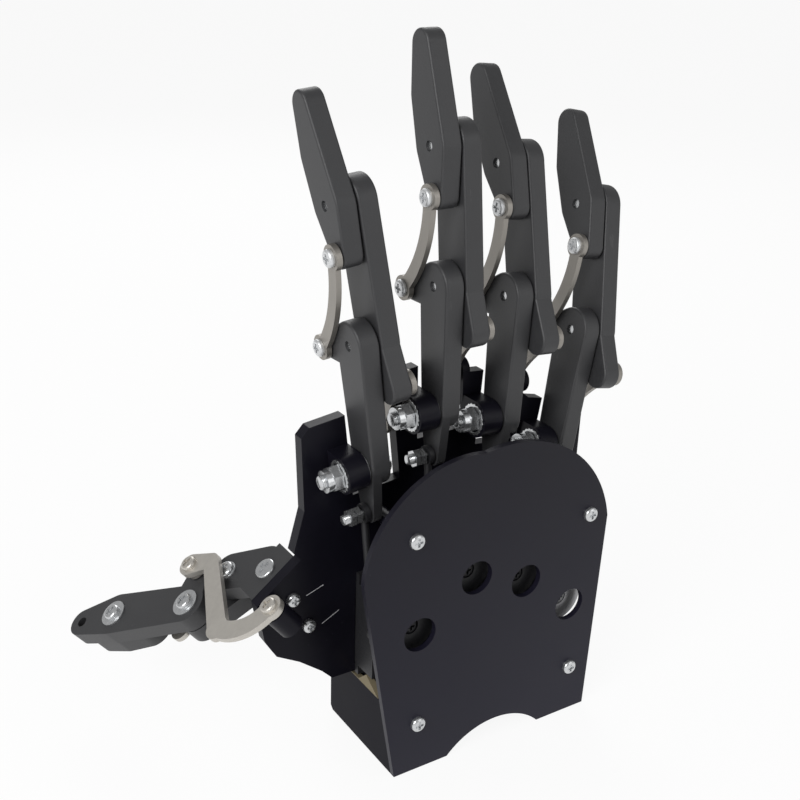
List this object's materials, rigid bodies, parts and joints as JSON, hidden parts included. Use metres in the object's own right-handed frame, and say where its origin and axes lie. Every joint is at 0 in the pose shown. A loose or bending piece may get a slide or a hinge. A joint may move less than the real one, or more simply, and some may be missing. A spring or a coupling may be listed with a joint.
{
  "type": "robot hand gripper",
  "caption": "Robot hand gripper with linkage-driven metal fingers, a tilted thumb, servos in the palm and an arched back cover on a wrist box.",
  "frame": {"origin": "middle of the back cover's lower edge, on its outer face, at the wrist end", "axes": "+Z to the fingertips, +X towards the little finger, +Y out of the palm side"},
  "size_m": [0.1279, 0.07, 0.1692],
  "materials": {
    "black_frame": "satin",
    "black_finger": "satin",
    "nickel_link": "satin",
    "zinc_fastener": "satin",
    "servo_black": "matte",
    "horn_metal": "satin"
  },
  "bodies": {
    "palm": {"palm_plate": "black_frame", "wrist_box": "black_frame", "cover_plate": "black_frame", "cover_screws": "zinc_fastener", "knuckle_bolts": "zinc_fastener", "thumb_servo": "servo_black", "thumb_base": "black_finger", "thumb_base_screws": "zinc_fastener", "index_servo": "servo_black", "middle_servo": "servo_black", "ring_servo": "servo_black", "little_servo": "servo_black"},
    "index_proximal": {"index_proximal": "black_finger", "index_pins": "zinc_fastener"},
    "index_middle": {"index_middle": "black_finger", "index_tip_pin": "zinc_fastener"},
    "index_distal": {"index_distal": "black_finger"},
    "index_lower_link": {"index_lower_link": "nickel_link"},
    "index_upper_link": {"index_upper_link": "nickel_link"},
    "index_push_rod": {"index_push_rod": "nickel_link"},
    "index_horn": {"index_horn": "horn_metal"},
    "middle_proximal": {"middle_proximal": "black_finger", "middle_pins": "zinc_fastener"},
    "middle_middle": {"middle_middle": "black_finger", "middle_tip_pin": "zinc_fastener"},
    "middle_distal": {"middle_distal": "black_finger"},
    "middle_lower_link": {"middle_lower_link": "nickel_link"},
    "middle_upper_link": {"middle_upper_link": "nickel_link"},
    "middle_push_rod": {"middle_push_rod": "nickel_link"},
    "middle_horn": {"middle_horn": "horn_metal"},
    "ring_proximal": {"ring_proximal": "black_finger", "ring_pins": "zinc_fastener"},
    "ring_middle": {"ring_middle": "black_finger", "ring_tip_pin": "zinc_fastener"},
    "ring_distal": {"ring_distal": "black_finger"},
    "ring_lower_link": {"ring_lower_link": "nickel_link"},
    "ring_upper_link": {"ring_upper_link": "nickel_link"},
    "ring_push_rod": {"ring_push_rod": "nickel_link"},
    "ring_horn": {"ring_horn": "horn_metal"},
    "little_proximal": {"little_proximal": "black_finger", "little_pins": "zinc_fastener"},
    "little_middle": {"little_middle": "black_finger", "little_tip_pin": "zinc_fastener"},
    "little_distal": {"little_distal": "black_finger"},
    "little_lower_link": {"little_lower_link": "nickel_link"},
    "little_upper_link": {"little_upper_link": "nickel_link"},
    "little_push_rod": {"little_push_rod": "nickel_link"},
    "little_horn": {"little_horn": "horn_metal"},
    "thumb_proximal": {"thumb_proximal": "black_finger", "thumb_pivot_screws": "zinc_fastener"},
    "thumb_distal": {"thumb_distal": "black_finger", "thumb_pad": "black_finger", "thumb_tip_screw": "zinc_fastener", "thumb_strap": "nickel_link"},
    "thumb_bracket": {"thumb_bracket": "nickel_link"},
    "thumb_horn": {"thumb_horn": "horn_metal"}
  },
  "joints": [
    {"name": "index_curl", "type": "hinge", "parent": "palm", "child": "index_proximal", "pos_m": [-0.0312, 0.014, 0.0762], "axis": [-0.993, 0, -0.1184], "range_deg": [0, 55]},
    {"name": "index_middle_bend", "type": "hinge", "parent": "index_proximal", "child": "index_middle", "pos_m": [-0.03464, 0.01522, 0.10503], "axis": [-0.993, 0, -0.1184], "range_deg": [0, 44.12]},
    {"name": "index_tip_bend", "type": "hinge", "parent": "index_middle", "child": "index_distal", "pos_m": [-0.03816, 0.0194, 0.1346], "axis": [-0.993, 0, -0.1184], "range_deg": [0, 42.67]},
    {"name": "index_lower_link_swing", "type": "hinge", "parent": "palm", "child": "index_lower_link", "pos_m": [-0.03179, 0.022, 0.08117], "axis": [-0.993, 0, -0.1184], "range_deg": [0, 60.36]},
    {"name": "index_upper_link_swing", "type": "hinge", "parent": "index_proximal", "child": "index_upper_link", "pos_m": [-0.03429, 0.0251, 0.10213], "axis": [-0.993, 0, -0.1184], "range_deg": [0, 28.26]},
    {"name": "index_rod_swing", "type": "hinge", "parent": "index_proximal", "child": "index_push_rod", "pos_m": [-0.0299, 0.01354, 0.06529], "axis": [-0.993, 0, -0.1184], "range_deg": [-73.33, 0]},
    {"name": "index_horn_turn", "type": "hinge", "parent": "palm", "child": "index_horn", "pos_m": [-0.0234, 0.005, 0.038], "axis": [0, 1, 0], "range_deg": [0, 30.27]},
    {"name": "middle_curl", "type": "hinge", "parent": "palm", "child": "middle_proximal", "pos_m": [-0.0132, 0.014, 0.0867], "axis": [-0.9997, 0, -0.0262], "range_deg": [0, 55]},
    {"name": "middle_middle_bend", "type": "hinge", "parent": "middle_proximal", "child": "middle_middle", "pos_m": [-0.01396, 0.01435, 0.11575], "axis": [-0.9997, 0, -0.0262], "range_deg": [0, 44.61]},
    {"name": "middle_tip_bend", "type": "hinge", "parent": "middle_middle", "child": "middle_distal", "pos_m": [-0.01474, 0.01677, 0.14571], "axis": [-0.9997, 0, -0.0262], "range_deg": [0, 44.75]},
    {"name": "middle_lower_link_swing", "type": "hinge", "parent": "palm", "child": "middle_lower_link", "pos_m": [-0.01333, 0.022, 0.0917], "axis": [-0.9997, 0, -0.0262], "range_deg": [0, 58.89]},
    {"name": "middle_upper_link_swing", "type": "hinge", "parent": "middle_proximal", "child": "middle_upper_link", "pos_m": [-0.01389, 0.02432, 0.11313], "axis": [-0.9997, 0, -0.0262], "range_deg": [0, 26.71]},
    {"name": "middle_rod_swing", "type": "hinge", "parent": "middle_proximal", "child": "middle_push_rod", "pos_m": [-0.01291, 0.01387, 0.0757], "axis": [-0.9997, 0, -0.0262], "range_deg": [-73.33, 0]},
    {"name": "middle_horn_turn", "type": "hinge", "parent": "palm", "child": "middle_horn", "pos_m": [-0.008, 0.005, 0.0485], "axis": [0, 1, 0], "range_deg": [0, 28.1]},
    {"name": "ring_curl", "type": "hinge", "parent": "palm", "child": "ring_proximal", "pos_m": [0.0046, 0.014, 0.0816], "axis": [-0.9978, 0, 0.0663], "range_deg": [0, 55]},
    {"name": "ring_middle_bend", "type": "hinge", "parent": "ring_proximal", "child": "ring_middle", "pos_m": [0.00652, 0.01552, 0.11056], "axis": [-0.9978, 0, 0.0663], "range_deg": [0, 43.89]},
    {"name": "ring_tip_bend", "type": "hinge", "parent": "ring_middle", "child": "ring_distal", "pos_m": [0.00844, 0.02376, 0.13941], "axis": [-0.9978, 0, 0.0663], "range_deg": [0, 42.57]},
    {"name": "ring_lower_link_swing", "type": "hinge", "parent": "palm", "child": "ring_lower_link", "pos_m": [0.00493, 0.022, 0.08659], "axis": [-0.9978, 0, 0.0663], "range_deg": [0, 63.34]},
    {"name": "ring_upper_link_swing", "type": "hinge", "parent": "ring_proximal", "child": "ring_upper_link", "pos_m": [0.00632, 0.02538, 0.10754], "axis": [-0.9978, 0, 0.0663], "range_deg": [0, 30.93]},
    {"name": "ring_rod_swing", "type": "hinge", "parent": "ring_proximal", "child": "ring_push_rod", "pos_m": [0.00387, 0.01342, 0.07064], "axis": [-0.9978, 0, 0.0663], "range_deg": [-72.72, 0]},
    {"name": "ring_horn_turn", "type": "hinge", "parent": "palm", "child": "ring_horn", "pos_m": [0.0069, 0.005, 0.0433], "axis": [0, 1, 0], "range_deg": [0, 32.43]},
    {"name": "little_curl", "type": "hinge", "parent": "palm", "child": "little_proximal", "pos_m": [0.0222, 0.014, 0.0709], "axis": [-0.9845, 0, 0.1754], "range_deg": [0, 55]},
    {"name": "little_middle_bend", "type": "hinge", "parent": "little_proximal", "child": "little_middle", "pos_m": [0.02729, 0.01517, 0.09949], "axis": [-0.9845, 0, 0.1754], "range_deg": [0, 44.06]},
    {"name": "little_tip_bend", "type": "hinge", "parent": "little_middle", "child": "little_distal", "pos_m": [0.03239, 0.02285, 0.12811], "axis": [-0.9845, 0, 0.1754], "range_deg": [0, 43.16]},
    {"name": "little_lower_link_swing", "type": "hinge", "parent": "palm", "child": "little_lower_link", "pos_m": [0.02308, 0.022, 0.07582], "axis": [-0.9845, 0, 0.1754], "range_deg": [0, 62.89]},
    {"name": "little_upper_link_swing", "type": "hinge", "parent": "little_proximal", "child": "little_upper_link", "pos_m": [0.02678, 0.02506, 0.09663], "axis": [-0.9845, 0, 0.1754], "range_deg": [0, 30.43]},
    {"name": "little_rod_swing", "type": "hinge", "parent": "little_proximal", "child": "little_push_rod", "pos_m": [0.02027, 0.01356, 0.06008], "axis": [-0.9845, 0, 0.1754], "range_deg": [-72.42, 0]},
    {"name": "little_horn_turn", "type": "hinge", "parent": "palm", "child": "little_horn", "pos_m": [0.0215, 0.005, 0.0323], "axis": [0, 1, 0], "range_deg": [0, 31.57]},
    {"name": "thumb_curl", "type": "hinge", "parent": "palm", "child": "thumb_proximal", "pos_m": [-0.05474, 0.0359, 0.04543], "axis": [0.6225, 0, -0.7826], "range_deg": [0, 30]},
    {"name": "thumb_tip_bend", "type": "hinge", "parent": "thumb_proximal", "child": "thumb_distal", "pos_m": [-0.06437, 0.0393, 0.03778], "axis": [0.6225, 0, -0.7826], "range_deg": [0, 6.92]},
    {"name": "thumb_bracket_swing", "type": "hinge", "parent": "palm", "child": "thumb_bracket", "pos_m": [-0.05349, 0.0118, 0.04643], "axis": [0.6225, 0, -0.7826], "range_deg": [0, 8.63]},
    {"name": "thumb_horn_turn", "type": "hinge", "parent": "palm", "child": "thumb_horn", "pos_m": [-0.0062, 0.005, 0.014], "axis": [0, 1, 0], "range_deg": [0, 30]}
  ],
  "couplings": [
    {"joint": "index_middle_bend", "follows": "index_curl", "ratio": 0.80222},
    {"joint": "index_tip_bend", "follows": "index_curl", "ratio": 0.77579},
    {"joint": "index_lower_link_swing", "follows": "index_curl", "ratio": 1.0975},
    {"joint": "index_upper_link_swing", "follows": "index_curl", "ratio": 0.51386},
    {"joint": "index_rod_swing", "follows": "index_curl", "ratio": -1.3333},
    {"joint": "index_horn_turn", "follows": "index_curl", "ratio": 0.55039},
    {"joint": "middle_middle_bend", "follows": "middle_curl", "ratio": 0.81117},
    {"joint": "middle_tip_bend", "follows": "middle_curl", "ratio": 0.8136},
    {"joint": "middle_lower_link_swing", "follows": "middle_curl", "ratio": 1.0707},
    {"joint": "middle_upper_link_swing", "follows": "middle_curl", "ratio": 0.48563},
    {"joint": "middle_rod_swing", "follows": "middle_curl", "ratio": -1.3333},
    {"joint": "middle_horn_turn", "follows": "middle_curl", "ratio": 0.51096},
    {"joint": "ring_middle_bend", "follows": "ring_curl", "ratio": 0.79793},
    {"joint": "ring_tip_bend", "follows": "ring_curl", "ratio": 0.77406},
    {"joint": "ring_lower_link_swing", "follows": "ring_curl", "ratio": 1.1516},
    {"joint": "ring_upper_link_swing", "follows": "ring_curl", "ratio": 0.56242},
    {"joint": "ring_rod_swing", "follows": "ring_curl", "ratio": -1.3222},
    {"joint": "ring_horn_turn", "follows": "ring_curl", "ratio": 0.58963},
    {"joint": "little_middle_bend", "follows": "little_curl", "ratio": 0.80105},
    {"joint": "little_tip_bend", "follows": "little_curl", "ratio": 0.78479},
    {"joint": "little_lower_link_swing", "follows": "little_curl", "ratio": 1.1434},
    {"joint": "little_upper_link_swing", "follows": "little_curl", "ratio": 0.55327},
    {"joint": "little_rod_swing", "follows": "little_curl", "ratio": -1.3167},
    {"joint": "little_horn_turn", "follows": "little_curl", "ratio": 0.57403},
    {"joint": "thumb_tip_bend", "follows": "thumb_curl", "ratio": 0.23074},
    {"joint": "thumb_bracket_swing", "follows": "thumb_curl", "ratio": 0.28769},
    {"joint": "thumb_horn_turn", "follows": "thumb_curl", "ratio": 1}
  ]
}
